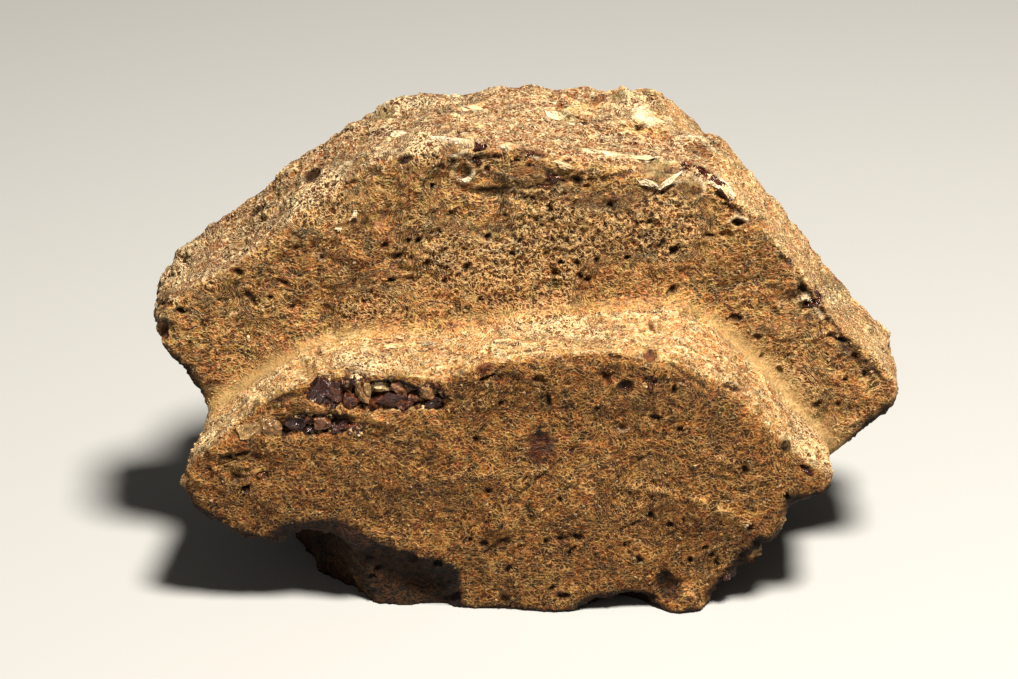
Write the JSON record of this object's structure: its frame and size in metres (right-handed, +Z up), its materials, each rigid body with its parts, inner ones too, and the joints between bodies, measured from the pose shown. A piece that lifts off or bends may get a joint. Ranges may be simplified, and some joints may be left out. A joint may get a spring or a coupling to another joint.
{
  "type": "bastnasite crystal group",
  "caption": "Tabular six-sided bastnasite crystals grown together in parallel steps, with a rough tan crust, standing on a flat broken foot.",
  "frame": {"origin": "on the floor plane, under the middle of the specimen's outer box", "axes": "+Z up; X along the specimen's width; +Y from the small front crystal back to the rear crystal, along the crystals' common axis"},
  "size_m": [0.0748, 0.0322, 0.0457],
  "materials": {
    "bastnasite": "rough, finely scaly tan-brown stone"
  },
  "bodies": {
    "root": {"crystals": "bastnasite"}
  },
  "joints": []
}
